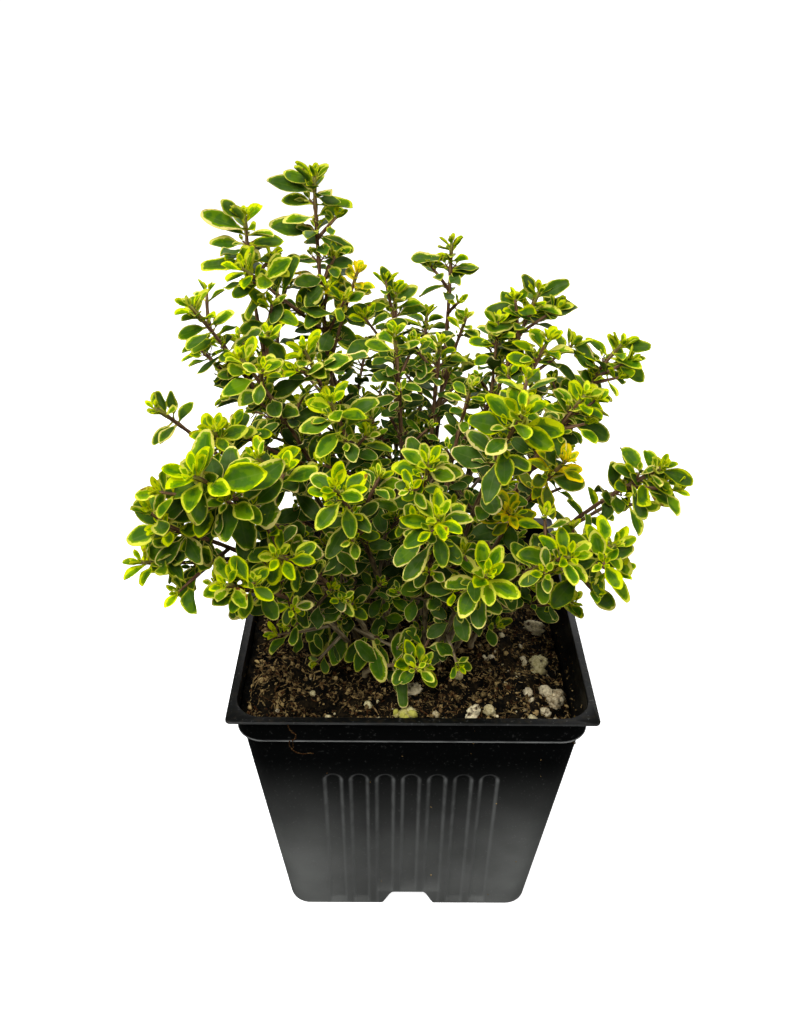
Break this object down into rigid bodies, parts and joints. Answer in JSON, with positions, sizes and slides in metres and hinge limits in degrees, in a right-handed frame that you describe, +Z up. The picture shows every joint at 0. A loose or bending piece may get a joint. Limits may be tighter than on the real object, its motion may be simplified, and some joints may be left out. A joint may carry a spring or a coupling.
{
  "type": "potted thyme",
  "caption": "Bushy variegated thyme, crossed leaf pairs on woody square stems, in a square black nursery pot of peat soil.",
  "frame": {"origin": "middle of the flat underside of the pot's foot, on the surface that the pot stands on", "axes": "+Z up along the stems, +X to the right and -Y towards the front of the pot, square to its sides"},
  "size_m": [0.1226, 0.122, 0.1966],
  "materials": {
    "black_plastic": "satin",
    "peat_soil": "matte",
    "pale_grain": "matte",
    "thyme": "satin"
  },
  "bodies": {
    "root": {"pot": "black_plastic", "soil": "peat_soil", "grain_front_right": "pale_grain", "grain_green": "pale_grain", "grain_middle": "pale_grain", "grain_olive": "pale_grain", "grain_right": "pale_grain", "grain_shard": "pale_grain", "stem_back_far_right": "thyme", "stem_back_inner_left": "thyme", "stem_back_left": "thyme", "stem_back_middle": "thyme", "stem_back_right": "thyme", "stem_centre": "thyme", "stem_centre_back": "thyme", "stem_centre_front": "thyme", "stem_centre_left": "thyme", "stem_far_left": "thyme", "stem_far_left_low": "thyme", "stem_far_right": "thyme", "stem_far_right_upper": "thyme", "stem_front": "thyme", "stem_front_left": "thyme", "stem_front_left_low": "thyme", "stem_front_right_low": "thyme", "stem_front_upper": "thyme", "stem_inner_right": "thyme", "stem_left_front": "thyme", "stem_left_low": "thyme", "stem_left_middle": "thyme", "stem_left_tall": "thyme", "stem_left_upper": "thyme", "stem_middle_right": "thyme", "stem_near_left": "thyme", "stem_near_right": "thyme", "stem_right_front": "thyme", "stem_right_inner": "thyme", "stem_right_low": "thyme", "stem_right_middle": "thyme", "stem_right_upper": "thyme", "stem_side_left": "thyme", "stem_side_right": "thyme", "stem_top_left": "thyme", "stem_top_middle": "thyme", "stem_top_right": "thyme", "stem_trailing_front": "thyme"}
  },
  "joints": []
}
